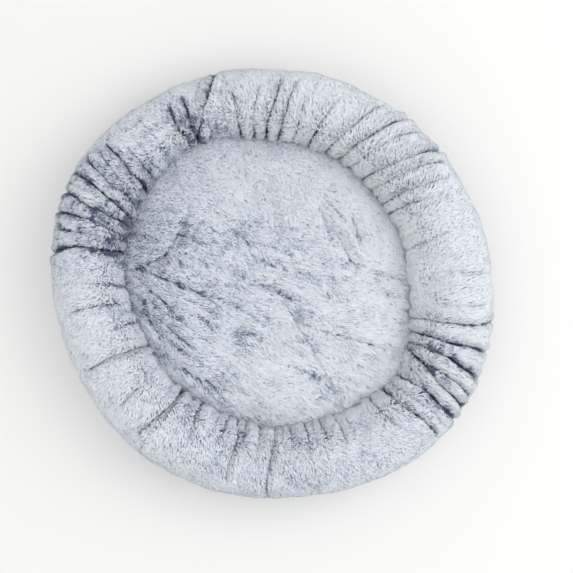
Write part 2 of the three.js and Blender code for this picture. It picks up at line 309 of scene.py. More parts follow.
def fur_material():
    """Frosted two-tone plush: navy roots, icy tips. The strand's own map holds its tone, painted light and
    shade included, and its length.
    """
    material, tree, shader = new_material("frosted_fur")
    uv = tree.node("ShaderNodeUVMap", {"uv_map": "OFBake"})
    parts = tree.node("ShaderNodeSeparateXYZ", inputs={0: uv.outputs[0]})
    tone = Value(tree, parts.outputs[0])
    along = Value(tree, parts.outputs[1])
    reach = (along * 0.42 + tone * 0.78 - 0.10).math("ADD", 0.0, clamp=True)
    ramp = tree.node("ShaderNodeValToRGB", {"ramp": FUR_STOPS}, {0: reach})
    tree.give(shader.inputs["Base Color"], ramp.outputs[0])
    shader.inputs["Roughness"].default_value = 0.85
    shader.inputs["Specular IOR Level"].default_value = 0.25
    shader.inputs["Sheen Weight"].default_value = 0.35
    shader.inputs["Sheen Roughness"].default_value = 0.5
    shader.inputs["Sheen Tint"].default_value = (0.92, 0.95, 1.0, 1)
    return material


FUR_STOPS = (
    (0.0, (0.044, 0.052, 0.105)),
    (0.2, (0.125, 0.148, 0.242)),
    (0.38, (0.425, 0.475, 0.582)),
    (0.56, (0.755, 0.805, 0.875)),
    (1.0, (0.920, 0.950, 0.985)),
)


def backing_material():
    """The knitted cloth that the fur grows from, coloured from the same tone as the roots above it, painted
    light and shade included.
    """
    material, tree, shader = new_material("fur_backing")
    place = tree.node("ShaderNodeTexCoord").outputs["Object"]
    knit = cloudy(tree, place, 900.0, 2.0)
    tone = Value(tree, tree.node("ShaderNodeAttribute", {"attribute_name": "tone"}).outputs["Fac"])
    reach = (tone * 0.70 + knit * 0.12 - 0.14).math("ADD", 0.0, clamp=True)
    ramp = tree.node("ShaderNodeValToRGB", {"ramp": FUR_STOPS}, {0: reach})
    tree.give(shader.inputs["Base Color"], ramp.outputs[0])
    shader.inputs["Roughness"].default_value = 0.95
    raise_bumps(shader, tree, knit, 0.4, 0.5 * MM)
    return material


def raise_bumps(shader, tree, height, strength, distance):
    bump = tree.node("ShaderNodeBump", inputs={"Height": height, "Strength": strength, "Distance": distance})
    tree.give(shader.inputs["Normal"], bump.outputs[0])


def mottled(shader, tree, height, dark, light, roughness, strength, distance):
    """Colour, roughness and bump of a finish from one height field between 0 and 1."""
    ramp = tree.node("ShaderNodeValToRGB", {"ramp": ((0.0, dark), (1.0, light))}, {0: height})
    tree.give(shader.inputs["Base Color"], ramp.outputs[0])
    tree.give(shader.inputs["Roughness"], height * -0.08 + roughness)
    raise_bumps(shader, tree, height, strength, distance)


def place_values(tree):
    """The place on the piece in metres, as a vector and as its three values."""
    place = tree.node("ShaderNodeTexCoord").outputs["Object"]
    parts = tree.node("ShaderNodeSeparateXYZ", inputs={0: place})
    return place, [Value(tree, parts.outputs[k]) for k in range(3)]


def cloudy(tree, place, scale, detail, **more):
    """Noise between 0 and 1 over the piece; scale is its bumps per metre."""
    inputs = {"Vector": place, "Scale": scale, "Detail": detail, **more}
    return tree.value("ShaderNodeTexNoise", inputs=inputs)


def weave(across, along, pitch):
    """Plain weave between two distances over the cloth, from 0 in the gaps to 1 on the threads."""
    rate = TAU / pitch
    warp = (across * rate).math("SINE")
    weft = (along * rate).math("SINE")
    return (warp * weft) * 0.25 + (warp.math("ABSOLUTE") + weft.math("ABSOLUTE")) * 0.25 + 0.25


def cloth_material(name, dark, light, pitch, wear_seed):
    """Woven cloth with uneven threads, on a flat piece."""
    material, tree, shader = new_material(name)
    place, (x, y, z) = place_values(tree)
    uneven = cloudy(tree, place, 38.0 + wear_seed, 4.0)
    height = weave(x, y, pitch) * 0.75 + uneven * 0.35 - 0.05
    mottled(shader, tree, height, dark, light, 0.92, 0.5, 0.4 * MM)
    return material


DOT_PITCH = 9 * MM            # grip dots, in rows set off by half
DOT_RADIUS = 0.17             # as a share of their pitch
ROW_SHARE = math.sqrt(3) / 2  # distance of the rows, as a share of the pitch


def base_material():
    """Grey woven cloth with a grid of small grip dots."""
    material, tree, shader = new_material("base_cloth_grip_dots")
    place, (x, y, z) = place_values(tree)
    uneven = cloudy(tree, place, 30.0, 4.0)
    threads = weave(x, y, 0.9 * MM) * 0.6 + uneven * 0.3
    rows = y / (DOT_PITCH * ROW_SHARE)
    across = (x / DOT_PITCH + rows.math("FLOOR") * 0.5).math("FRACT") - 0.5
    up = (rows.math("FRACT") - 0.5) * ROW_SHARE
    away = (across * across + up * up).math("SQRT")
    underneath = z.math("LESS_THAN", BASE_TOP / 2)
    dot = ((away * -1.0 + DOT_RADIUS) * 14.0).math("ADD", 0.0, clamp=True) * underneath
    stops = ((0.0, (0.13, 0.135, 0.15)), (1.0, (0.36, 0.37, 0.40)))
    cloth = tree.node("ShaderNodeValToRGB", {"ramp": stops}, {0: threads})
    rubber = (0.055, 0.058, 0.066, 1)
    colour = tree.node("ShaderNodeMix", {"data_type": "RGBA"}, {0: dot, 6: cloth.outputs[0], 7: rubber})
    tree.give(shader.inputs["Base Color"], colour.outputs[2])
    tree.give(shader.inputs["Roughness"], dot * -0.35 + 0.93)
    raise_bumps(shader, tree, threads * 0.4 + dot, 0.6, 0.6 * MM)
    return material


def tape_material(name, dark, light):
    """Herringbone tape that runs round the bed, upright."""
    material, tree, shader = new_material(name)
    place, (x, y, z) = place_values(tree)
    round_bed = y.math("ARCTAN2", x) * BAND
    rib = ((z / (2.4 * MM)).math("FRACT") - 0.5).math("ABSOLUTE") * (2.4 * MM)
    threads = ((round_bed + rib) * (TAU / (0.9 * MM))).math("SINE") * 0.5 + 0.5
    uneven = cloudy(tree, place, 220.0, 3.0)
    mottled(shader, tree, threads * 0.7 + uneven * 0.3, dark, light, 0.88, 0.5, 0.3 * MM)
    return material


def fibre_material():
    material, tree, shader = new_material("fibre_filling")
    place, _ = place_values(tree)
    tufts = cloudy(tree, place, 120.0, 6.0, Distortion=1.5)
    mottled(shader, tree, tufts, (0.66, 0.66, 0.65), (0.95, 0.95, 0.94), 0.97, 0.8, 1.5 * MM)
    return material


def plastic_material():
    """Satin nylon of the zip's coil, faintly streaked."""
    material, tree, shader = new_material("zip_coil_plastic")
    place, _ = place_values(tree)
    streak = cloudy(tree, place, 420.0, 2.0)
    mottled(shader, tree, streak, (0.19, 0.20, 0.23), (0.33, 0.34, 0.38), 0.48, 0.1, 0.1 * MM)
    return material


def metal_material():
    """Painted metal with fine wear."""
    material, tree, shader = new_material("zip_slider_metal")
    place, _ = place_values(tree)
    wear = cloudy(tree, place, 650.0, 5.0, Roughness=0.7)
    stops = ((0.35, (0.30, 0.31, 0.33)), (0.75, (0.55, 0.56, 0.58)))
    ramp = tree.node("ShaderNodeValToRGB", {"ramp": stops}, {0: wear})
    tree.give(shader.inputs["Base Color"], ramp.outputs[0])
    tree.give(shader.inputs["Roughness"], wear * 0.25 + 0.22)
    shader.inputs["Metallic"].default_value = 0.9
    raise_bumps(shader, tree, wear, 0.12, 0.1 * MM)
    return material


def thread_material():
    material, tree, shader = new_material("sewing_thread")
    place, _ = place_values(tree)
    twist = cloudy(tree, place, 2600.0, 1.0)
    mottled(shader, tree, twist, (0.50, 0.51, 0.54), (0.78, 0.79, 0.81), 0.75, 0.3, 0.1 * MM)
    return material


# ---- the bolster's skin ----

CROWN_POWER = 2.25            # of the bolster's rounded section: 2 is an ellipse, more is squarer


def rounded(wave, power):
    """A sine or cosine, as the coordinate of a rounded curve that its power makes squarer than an ellipse."""
    return np.sign(wave) * np.abs(wave) ** (2 / power)


def bolster_section(inset):
    """Points [radius, height] from the foot in the nest over the crown to the foot outside."""
    centre = (OUTER + NEST) / 2
    half = (OUTER - NEST) / 2 - inset
    points = []
    for a in np.linspace(math.pi * 1.5, math.pi, 24, endpoint=False):
        radius = FOOT + (FOOT - NEST - inset) * math.cos(a)
        points.append((radius, MIDDLE + (MIDDLE - BASE_TOP) * math.sin(a)))
    for a in np.linspace(math.pi, 0, 60, endpoint=False):
        radius = centre + half * rounded(math.cos(a), CROWN_POWER)
        points.append((radius, MIDDLE + (RING_TOP - MIDDLE - inset) * rounded(math.sin(a), CROWN_POWER)))
    for a in np.linspace(0, -math.pi / 2, 24):
        radius = BAND - inset + (OUTER - BAND) * math.cos(a)
        points.append((radius, MIDDLE + (MIDDLE - BAND_TOP) * math.sin(a)))
    return np.array(points)


def band_rows(inset):
    """The plain band below the crown, with rows along both edges of the zip's opening."""
    middle = (WINDOW_LOW + WINDOW_HIGH) / 2
    heights = (WINDOW_HIGH, middle, WINDOW_LOW, BASE_TOP + 0.3 * MM)
    return np.array([(BAND - inset, height) for height in heights])


def resampled(points, count):
    """The same polyline with evenly spaced points."""
    steps = np.concatenate([[0], np.cumsum(np.linalg.norm(np.diff(points, axis=0), axis=1))])
    at = np.linspace(0, steps[-1], count)
    return np.stack([np.interp(at, steps, points[:, k]) for k in range(2)], axis=1)


# Folds of the bolster's fur: angle at the nest and at the outside in degrees, reach from 0 at the nest
# to 1 at the outline, depth and width in millimetres.
BOLSTER_FOLDS = (
    (167.5, 172, 0, 1, 9, 3.5), (164.5, 166, .05, .9, 6, 3), (161.9, 160.8, .1, 1, 8, 3),
    (158.5, 156, .1, 1, 9, 3.5), (155.1, 149.6, .05, .95, 8, 3.5), (151, 145, .2, .9, 6, 3),
    (147, 142, .25, .8, 5, 3), (143.6, 138.6, 0, .8, 7, 3.5), (139, 134, .1, .5, 4, 3),
    (121, 120, .1, .7, 5, 3), (117.9, 115.3, 0, .75, 8, 3.5), (117.6, 103.6, 0, .95, 10, 3.5),
    (101.9, 101, 0, .6, 5, 3), (97, 92, .05, .6, 4, 3), (92, 86, 0, .8, 6, 3), (88, 80.5, 0, .8, 6, 3),
    (82, 77, .1, .6, 4, 3), (76, 66, 0, .7, 5, 3), (68, 56, 0, .9, 6, 3), (62, 49, 0, 1, 8, 3.5),
    (57, 44, .1, .9, 5, 3), (49, 37, 0, 1, 8, 3.5), (44, 33, .1, .9, 5, 3), (35, 30, 0, .8, 6, 3),
    (30, 27, 0, .5, 4, 3), (14, 15, .1, .5, 2.5, 4), (2, 3, .3, .9, 2, 4), (-8, -6, .3, .9, 2.5, 3),
    (-15, -10.4, 0, 1, 6, 3), (-19.6, -18.2, .1, .95, 9, 3.5), (-23, -24.5, .1, .95, 10, 3.5),
    (-25.6, -31, .05, .95, 8, 3), (-27, -34.5, .15, .95, 9, 3.5), (-33, -37, .3, .9, 6, 3),
    (-36, -36.5, .1, 1, 7, 3), (-43.7, -42.7, 0, .9, 8, 3), (-50, -48, 0, .5, 5, 3),
    (-66, -66, 0, .4, 4, 2.5), (-72, -71, 0, .3, 4, 2.5), (-78, -78, 0, .4, 4, 2.5),
    (-84, -84, 0, .35, 4, 2.5), (-90, -90, 0, .6, 5, 2.5), (-95, -95, 0, .3, 4, 2.5),
    (-100, -101, 0, .4, 4, 2.5), (-104, -104, 0, .35, 4, 2.5), (-109, -110, 0, .3, 4, 2.5),
    (-92, -91, .3, 1, 4, 3), (-103, -103, .2, .8, 5, 3), (206, 205, .1, .85, 7, 3),
    (229.6, 229.3, 0, .75, 7, 3), (240, 243, 0, .5, 3, 3), (218, 220, .3, .8, 2.5, 4),
    (188, 188, .2, .8, 3, 4), (181, 182, 0, .4, 3, 3), (196, 197, 0, .3, 3, 3),
)
# Where the sleeve is gathered most: middle and spread in degrees, lean of its streaks in degrees from the
# nest to the outline, how far they reach towards the outline, strength
GATHER_CLUSTERS = (
    (157, 17, -5, 1.1, 1.0), (128, 9, -7, 0.8, 0.5), (114, 7, -8, 0.8, 0.8), (91, 12, -6, 0.75, 0.6),
    (60, 13, -12, 0.9, 0.75), (38, 11, -8, 1.0, 0.8), (12, 9, 0, 0.5, 0.3), (-24, 10, -6, 1.1, 1.1),
    (-40, 9, -2, 1.0, 0.9), (-62, 8, 0, 0.45, 0.5), (-93, 22, 0, 0.5, 0.65), (-128, 8, 0, 0.7, 0.5),
    (-152, 8, 0, 0.9, 0.5), (184, 8, 1, 0.6, 0.4),
)
STREAKS_PER_RADIAN = 245 / 4.2    # half way out across the ring, in millimetres, by a streak's width
FOLD_SWAY = 2 * MM            # how far a fold strays to either side on its way out
FOLD_BENDS = 7                # radians of that sway from the nest to the outline
COLUMNS = 360                 # of the cloth that is simulated; the skin has twice as many each way
CROWN_ROWS = 46
BAND_ROWS = 4
ROWS = CROWN_ROWS + BAND_ROWS


def wrapped(angle):
    return (angle + math.pi) % TAU - math.pi


def near_angle(angle, middle, spread, lean=0):
    """1 near a place round the bed, fading to 0 past its spread; in degrees, but for the angle itself."""
    turned = wrapped(angle - math.radians(middle) - lean)
    return np.exp(-(turned / math.radians(spread)) ** 4)


def bolster_grid():
    """The sleeve before its folds, with each point's angle and its reach from nest to outline."""
    crown = resampled(bolster_section(PILE_STAND), CROWN_ROWS)
    section = np.concatenate([crown, band_rows(PILE_STAND)])
    angle = np.linspace(0, TAU, COLUMNS, endpoint=False)[None, :]
    radius = section[:, 0][:, None]
    height = section[:, 1][:, None] + 0 * angle
    across = np.clip((radius - NEST) / (OUTER - NEST), 0, 1)
    outside = smooth(0.35, 0.75, across)
    low = 1 - smooth(BAND_TOP + 2 * MM, MIDDLE, height)
    inside = 1 - smooth(0.1, 0.3, across)
    foot = inside * (1 - smooth(BASE_TOP, MIDDLE * 0.6, height))
    shift = mix(waves(angle, NEST_WAVES), waves(angle, OUTLINE_WAVES), smooth(0.0, 0.9, across))
    radius = radius + shift * (1 - outside * low) * (1 - 0.5 * foot) - 2.5 * MM * inside * (1 - foot)
    points = round_bed(radius, angle, height)
    reach = np.where(height > MIDDLE * 0.9, across, np.where(across < 0.5, 0.0, 1.0))
    return points, reach + 0 * angle


def fold_fields(angle, reach, radius):
    """Sum of the folds: the skin's rise, how far the pile is parted, and which way it parts."""
    rise = np.zeros(radius.shape)
    parting = np.zeros(radius.shape)
    side = np.zeros(radius.shape)
    for start, end, nearest, furthest, depth, width in BOLSTER_FOLDS:
        centre = np.radians(mix(start, end, reach))
        sway = FOLD_SWAY * np.sin(FOLD_BENDS * reach + start)
        distance = (wrapped(angle - centre) * radius + sway) / (width * MM)
        first = smooth(nearest - 0.12, nearest + 0.06, reach)
        envelope = first * (1 - smooth(furthest - 0.2, furthest + 0.05, reach))
        valley = np.exp(-distance ** 2)
        ridge = np.exp(-((np.abs(distance) - 2.2) / 1.3) ** 2)
        rise += depth * MM * envelope * (0.4 * ridge - 0.75 * valley)
        parting += envelope * depth / 8 * np.exp(-(distance * 0.85) ** 2)
        parting += envelope * depth / 36 * np.exp(-(distance / 3) ** 2)
        side += envelope * np.sign(distance) * np.exp(-(distance / 1.6) ** 2) * depth / 9
    return rise, np.clip(parting, 0, 1.3) * navy_share(angle), np.clip(side, -1, 1)


def navy_share(angle):
    """How dark the partings show: most where the sleeve is pulled tightest, at the left and lower right."""
    share = 0.40
    for middle, spread, more in ((141, 47, 0.68), (-28, 26, 0.48)):
        share = share + more * near_angle(angle, middle, spread)
    return share


def painted_light_round_ring(angle):
    """Painted light and shade round the ring: the pile made darker at the bottom and at the upper left, and
    paler at the upper right and the lower right.
    """
    lift = 0 * angle
    for middle, spread, more in ((-85, 45, -0.14), (138, 45, -0.10), (67, 25, 0.08), (-22, 25, 0.08)):
        lift = lift + more * near_angle(angle, middle, spread)
    return lift


def painted_rim_light(angle):
    """Painted light and shade on the pile where the ring closes on the cushion: paler towards the right and a
    little below, darker towards the left and a little above.
    """
    return 0.22 * np.cos(angle + math.radians(21)) - 0.02


def gather_streaks(points, angle, reach):
    """Short ragged streaks where the sleeve is gathered, from 0 to 1."""
    streaks = np.zeros(angle.shape)
    for k, (middle, spread, lean, end, strength) in enumerate(GATHER_CLUSTERS):
        lean = math.radians(lean) * reach
        turned = wrapped(angle - math.radians(middle) - lean)
        near = near_angle(angle, middle, spread, lean) * (1 - smooth(end - 0.4, end + 0.1, reach)) * strength
        place = np.stack([reach * 2.2 + 9.1 * k, turned * STREAKS_PER_RADIAN, 0 * reach], axis=-1)
        streaks += near * ridge_lines(place, 4)
    return np.clip(streaks * navy_share(angle) * (0.7 + 1.1 * noise_field(points, 14 * MM, 46)), 0, 1.2)


def unit(vectors):
    return vectors / np.maximum(np.linalg.norm(vectors, axis=-1, keepdims=True), 1e-9)


def outward(points):
    """Normals of the bolster's grid, pointing away from its filling."""
    normals = grid_normals(points)
    return normals if normals[len(points) // 2, 0, 2] > 0 else -normals


def store(mesh, name, kind, values):
    attribute = mesh.attributes.new(name, kind, "POINT")
    key = "vector" if kind == "FLOAT_VECTOR" else "value"
    attribute.data.foreach_set(key, np.ascontiguousarray(values, np.float32).ravel())


SPARE_CLOTH = 0.5            # share of the way that the sleeve's cloth is cut as wide as the outline
SEED_SHARE = 0.6             # share of each fold that is laid in before the cloth settles
SETTLING_FRAMES = 20
BOLSTER_PRESSURE, CUSHION_PRESSURE = 2.5, 1.5
BOLSTER_MOVE, CUSHION_MOVE = 9 * MM, 7 * MM    # the furthest that a point of the cloth moves


def bolster_cloth():
    """The sleeve's cloth, settled: gathered towards the nest, blown up by its filling."""
    points, reach = bolster_grid()
    angle = np.arctan2(points[..., 1], points[..., 0])
    radius = np.hypot(points[..., 0], points[..., 1])
    rise, _, _ = fold_fields(angle, reach, radius)
    loose = smooth(BAND_TOP - 4 * MM, BAND_TOP + 14 * MM, points[..., 2])
    gathers = noise_field(np.stack([angle * 14, reach * 1.2, 0 * reach], axis=-1), 1.0, 5) * 3 * MM
    lift = (rise * SEED_SHARE + gathers * smooth(0.6, 0.1, reach)) * loose
    start = points + outward(points) * lift[..., None]
    wide = mix(radius, np.maximum(radius, OUTER), SPARE_CLOTH * loose) / radius
    rest = points * np.stack([wide, wide, np.ones(wide.shape)], axis=-1)
    pinned = np.zeros(radius.shape, bool)
    pinned[:2] = True                # the foot in the nest
    pinned[CROWN_ROWS - 1:] = True   # the band outside
    faces = facing_out(grid_faces(ROWS, COLUMNS))
    settled = simulated("bolster_cloth", start, faces, rest, pinned, BOLSTER_PRESSURE, BOLSTER_MOVE)
    return halved(halved(settled, 1, True), 0, False)


def outside_window(points, faces):
    """The faces that don't lie in the zip's opening."""
    x, y, z = points.reshape(-1, 3)[np.array(faces)].mean(axis=1).T
    angle = np.arctan2(y, x)
    inside = (angle > WINDOW_START) & (angle < WINDOW_END) & (np.hypot(x, y) > FOOT)
    inside &= (z > WINDOW_LOW) & (z < WINDOW_HIGH)
    return [face for face, gone in zip(faces, inside) if not gone]


def beside_zip(points, angle):
    """1 along the zip's opening, where the pile is clipped short and combed away from it, and 0 elsewhere."""
    margin = math.radians(2)
    along = smooth(WINDOW_START - 2 * margin, WINDOW_START - margin, angle)
    along *= smooth(WINDOW_END + 2 * margin, WINDOW_END + margin, angle)
    low_down = smooth(WINDOW_HIGH + 10 * MM, WINDOW_HIGH + 5 * MM, points[..., 2])
    return along * low_down * (np.hypot(points[..., 0], points[..., 1]) > FOOT)


def bolster_surface():
    """The settled sleeve with its lumps, and the fields that its fur follows."""
    cloth = bolster_cloth()
    reach = halved(halved(bolster_grid()[1], 1, True), 0, False)
    angle = np.arctan2(cloth[..., 1], cloth[..., 0])
    radius = np.hypot(cloth[..., 0], cloth[..., 1])
    rise, parting, side = fold_fields(angle, reach, radius)
    loose = smooth(BAND_TOP - 4 * MM, BAND_TOP + 12 * MM, cloth[..., 2])
    lumps = noise_field(cloth, 60 * MM, 1) * 2.0 * MM + noise_field(cloth, 20 * MM, 2) * 1.0 * MM
    streaks = gather_streaks(cloth, angle, reach)
    lumps -= streaks * 1.4 * MM
    points = cloth + outward(cloth) * ((rise * (1 - SEED_SHARE) + lumps) * loose)[..., None]
    normals = outward(points)
    depth_for_painted_shade = hollowness(points, normals, 3) / MM
    radial = round_bed(1, angle, 0 * angle)
    tangent = np.stack([-np.sin(angle), np.cos(angle), 0 * angle], axis=-1)
    swirl = noise_field(points, 45 * MM, 11)
    outwards = mix(-0.7, 0.8, smooth(0.05, 0.35, reach))
    comb = outwards[..., None] * radial + (0.35 + 0.8 * swirl + 1.6 * side)[..., None] * tangent
    comb[..., 2] -= 0.25
    clipped = beside_zip(points, angle)
    comb[..., 2] += 2.0 * clipped * np.sign(points[..., 2] - (WINDOW_LOW + WINDOW_HIGH) / 2)
    locks = stretched_noise(points, unit(comb), 16 * MM, 5 * MM, 21)
    patches = noise_field(points, 30 * MM, 31)
    fine = noise_field(points, 8 * MM, 43)
    ragged = np.clip(0.85 + 2.0 * noise_field(points, 9 * MM, 41), 0.05, 1.8)
    # painted light and shade round the ring, on top of the pile's own random tone from locks, patches and
    # fine
    tone = 0.82 + painted_light_round_ring(angle) + 0.24 * locks + 0.16 * patches + 0.10 * fine
    # painted light and shade on the ring's rim by the nest
    tone += painted_rim_light(angle) * smooth(0.28, 0.1, reach)
    # painted shade: the pile darkened where its skin lies in a hollow; the partings and streaks are the fur's
    # own navy roots
    tone -= 0.75 * parting * ragged + 0.10 * np.clip(depth_for_painted_shade, -1, 2.5) + 0.5 * streaks * loose
    pile = (1 - 0.35 * np.clip(parting, 0, 1) + 0.12 * locks) * (1 - 0.5 * clipped)
    fields = {"tone": tone, "pile": pile, "comb": comb, "skin_normal": normals}
    return points, fields


def carrier(name, points, faces, fields):
    """A skin for fur to grow on, holding the fields that the fur follows."""
    skin = new_object(name, points.reshape(-1, 3), faces)
    for key, values in fields.items():
        kind = "FLOAT_VECTOR" if values.ndim > 2 else "FLOAT"
        store(skin.data, key, kind, values)
    return skin


def thickened(piece, thickness):
    """Gives a skin its cloth's thickness, on the inside."""
    solid = piece.modifiers.new("thickness", "SOLIDIFY")
    solid.thickness = thickness
    solid.offset = -1
    return piece


def bolster_cover(points, tone, material):
    """The plush sleeve itself: the fur's backing cloth, open along the zip."""
    points = points[::2]
    faces = outside_window(points, facing_out(grid_faces(*points.shape[:2])))
    cover = new_object("bolster_cover", points.reshape(-1, 3), faces, material)
    store(cover.data, "tone", "FLOAT", tone[::2])
    return thickened(cover, BACKING)


def stuffed_ring(name, inset, material):
    """A closed, softly lumped tube inside the sleeve, kept clear of the zip."""
    rows, columns = 40, 180
    around = np.linspace(0, TAU, rows, endpoint=False)[:, None]
    angle = np.linspace(0, TAU, columns, endpoint=False)[None, :]
    low, high = BASE_TOP + 1 * MM + 0.3 * (inset - 20 * MM), RING_TOP - inset
    height = (low + high) / 2 + (high - low) / 2 * rounded(np.sin(around), CROWN_POWER) + 0 * angle
    radius = (OUTER + NEST) / 2 + ((OUTER - NEST) / 2 - inset) * rounded(np.cos(around), CROWN_POWER)
    limit = mix(BAND - 14 * MM, OUTER, smooth(BAND_TOP, MIDDLE * 1.2, height)) - inset * 0.1
    across = np.clip((radius - NEST) / (OUTER - NEST), 0, 1)
    shift = mix(waves(angle, NEST_WAVES), waves(angle, OUTLINE_WAVES), across)
    radius = np.minimum(radius + shift * smooth(BAND_TOP, MIDDLE, height), limit)
    points = round_bed(radius, angle, height)
    points += grid_normals(points) * noise_field(points, 35 * MM, 3)[..., None] * 1.2 * MM
    last = (rows - 1) * columns
    closing = [(last + j, last + (j + 1) % columns, (j + 1) % columns, j) for j in range(columns)]
    return new_object(name, points.reshape(-1, 3), grid_faces(rows, columns) + closing, material)


# ---- fur ----

STRAND_WIDTH = 1.35 * MM
FUR_DENSITY = 540000.0        # strands per square metre
BOLSTER_SECTORS, CUSHION_SECTORS = 7, 3


def strand():
    """One closed hair lock, arched over along +X; its attributes say how far along and which side."""
    lean, rise, half = PILE * 0.86, PILE_STAND * 0.68, STRAND_WIDTH / 2
    points = [(0, 0, 0), (lean * 0.38, -half, rise), (lean * 0.38, half, rise), (lean, 0, rise * 0.8)]
    piece = new_object("strand", points, [(0, 1, 2), (3, 2, 1), (0, 3, 1), (0, 2, 3)])
    store(piece.data, "along", "FLOAT", [0, 0.4, 0.4, 1])
    store(piece.data, "across", "FLOAT", [0.5, 0, 1, 0.5])
    return piece


def named_input(group, name, kind, default=None):
    socket = group.interface.new_socket(name, in_out="INPUT", socket_type=kind)
    if default is not None:
        socket.default_value = default
    return socket


def attribute(tree, name, kind):
    return tree.node("GeometryNodeInputNamedAttribute", {"data_type": kind}, {"Name": name}).outputs[0]


def chance_vector(tree, reach, seed):
    """A random vector for each strand, each of its parts within the reach to either side of 0."""
    return tree.node("FunctionNodeRandomValue", {"data_type": "FLOAT_VECTOR"}, {
        0: (-reach, -reach, -reach), 1: (reach, reach, reach), "Seed": seed}).outputs[0]


def chance(tree, low, high, seed):
    """A random number for each strand."""
    limits = {2: low, 3: high, "Seed": seed}
    return tree.node("FunctionNodeRandomValue", {"data_type": "FLOAT"}, limits).outputs[1]


def vector_sum(tree, first, second):
    return tree.node("ShaderNodeVectorMath", {"operation": "ADD"}, {0: first, 1: second}).outputs[0]


def in_sector(tree, given):
    """Which points lie in the wanted sector of the bed, of sectors of equal angle."""
    where = tree.node("ShaderNodeSeparateXYZ", inputs={0: tree.node("GeometryNodeInputPosition").outputs[0]})
    turn = Value(tree, where.outputs[1]).math("ARCTAN2", where.outputs[0]) / TAU + 0.5
    turn = turn.math("MINIMUM", 0.9999)
    return (turn * given.outputs["Sectors"]).math("FLOOR").math("COMPARE", given.outputs["Sector"], 0.5)


def combed(tree, upright):
    """Each strand's turn: it stands on the skin, nearly upright, and leans the way the pile is combed."""
    comb = vector_sum(tree, attribute(tree, "comb", "FLOAT_VECTOR"), chance_vector(tree, 0.42, seed=7))
    up = vector_sum(tree, upright, chance_vector(tree, 0.14, seed=9))
    axes = {"primary_axis": "Z", "secondary_axis": "X"}
    return tree.node("FunctionNodeAxesToRotation", axes, {0: up, 1: comb}).outputs[0]


def strand_map(tree):
    """A strand's own map: its tone with painted light and shade in it, and a little of its width across, and
    its length up.
    """
    shade = (Value(tree, attribute(tree, "tone", "FLOAT")) + attribute(tree, "lot", "FLOAT"))
    shade = shade.math("MAXIMUM", 0.0).math("MINIMUM", 1.0) * 0.94 + 0.02
    u = shade + Value(tree, attribute(tree, "across", "FLOAT")) * 0.02
    v = Value(tree, attribute(tree, "along", "FLOAT")) * 0.98 + 0.01
    return tree.node("ShaderNodeCombineXYZ", inputs={0: u, 1: v}).outputs[0]


def fur_tree(material):
    """Geometry Nodes: strands scattered on a skin, combed, toned and joined into one mesh."""
    group = bpy.data.node_groups.new("fur", "GeometryNodeTree")
    named_input(group, "Geometry", "NodeSocketGeometry")
    named_input(group, "Strand", "NodeSocketObject")
    named_input(group, "Density", "NodeSocketFloat", FUR_DENSITY)
    named_input(group, "Sector", "NodeSocketInt", 0)
    named_input(group, "Sectors", "NodeSocketInt", 1)
    named_input(group, "Seed", "NodeSocketInt", 1)
    group.interface.new_socket("Geometry", in_out="OUTPUT", socket_type="NodeSocketGeometry")
    tree = Tree(group)
    given = tree.node("NodeGroupInput")
    scatter = tree.node("GeometryNodeDistributePointsOnFaces", {"distribute_method": "RANDOM"}, {
        "Mesh": given.outputs["Geometry"], "Density": given.outputs["Density"], "Seed": given.outputs["Seed"],
        "Selection": in_sector(tree, given)})
    size = Value(tree, chance(tree, 0.78, 1.2, seed=11)) * attribute(tree, "pile", "FLOAT")
    scale = tree.node("ShaderNodeCombineXYZ", inputs={0: size, 1: 1.0, 2: size})
    lock = tree.node("GeometryNodeObjectInfo", inputs={"Object": given.outputs["Strand"]})
    instances = tree.node("GeometryNodeInstanceOnPoints", inputs={
        "Points": scatter.outputs["Points"], "Instance": lock.outputs["Geometry"],
        "Rotation": combed(tree, scatter.outputs["Normal"]), "Scale": scale.outputs[0]})
    toned = tree.node("GeometryNodeStoreNamedAttribute", {"data_type": "FLOAT", "domain": "INSTANCE"}, {
        "Geometry": instances.outputs[0], "Name": "lot", "Value": chance(tree, -0.30, 0.14, seed=13)})
    real = tree.node("GeometryNodeRealizeInstances", inputs={0: toned.outputs[0]})
    mapped = tree.node("GeometryNodeStoreNamedAttribute", {"data_type": "FLOAT2", "domain": "CORNER"}, {
        "Geometry": real.outputs[0], "Name": "OFBake", "Value": strand_map(tree)})
    painted = tree.node("GeometryNodeSetMaterial", inputs={
        "Geometry": mapped.outputs[0], "Material": material})
    out = tree.node("NodeGroupOutput")
    tree.give(out.inputs[0], painted.outputs[0])
    return group


def grown(skin, group, hair, name, density, sector=0, sectors=1, seed=1):
    """The fur of one sector of a skin, as a plain mesh."""
    patch = bpy.data.objects.new(name + "_skin", skin.data)
    bpy.context.collection.objects.link(patch)
    values = {"Strand": hair, "Density": density, "Sector": sector, "Sectors": sectors, "Seed": seed}
    piece = solid_result(patch, group, values, name)
    soften(piece.data)
    return piece


NORMAL_FROM_SKIN = 0.8


